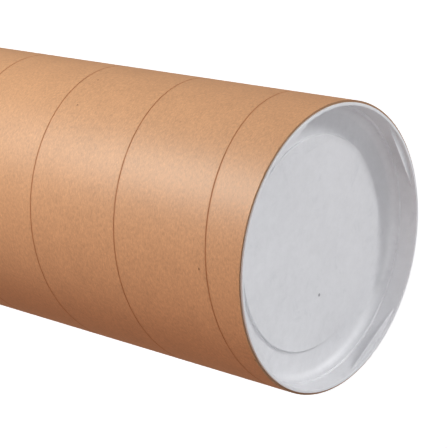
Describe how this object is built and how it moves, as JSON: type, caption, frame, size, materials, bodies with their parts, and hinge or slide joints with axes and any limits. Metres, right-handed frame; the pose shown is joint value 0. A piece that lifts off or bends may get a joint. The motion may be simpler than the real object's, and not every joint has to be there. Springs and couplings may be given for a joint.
{
  "type": "cardboard mailing tube",
  "caption": "Spiral-wound kraft paperboard mailing tube, large bore, closed at each end by a recessed white plastic push-in plug with a flange and corner webs.",
  "frame": {"origin": "middle of the bottom plug's flange, on the surface the tube stands on", "axes": "+Z along the tube's axis towards the top plug; +X and +Y set where the seam and the plugs' webs lie"},
  "size_m": [0.3124, 0.3124, 0.9184],
  "materials": {
    "kraft_board": "natural brown kraft liner, calendered, faint sheen along the tube",
    "white_plastic": "moulded white polyethylene, satin, lightly scuffed"
  },
  "bodies": {
    "tube": {"tube": "kraft_board"},
    "top_plug": {"top_plug": "white_plastic"},
    "bottom_plug": {"bottom_plug": "white_plastic"}
  },
  "joints": [
    {"name": "top_plug_pull", "type": "slide", "parent": "tube", "child": "top_plug", "axis": [0, 0, 1], "range_m": [0, 0.15]},
    {"name": "bottom_plug_pull", "type": "slide", "parent": "tube", "child": "bottom_plug", "axis": [0, 0, -1], "range_m": [0, 0.15]}
  ]
}
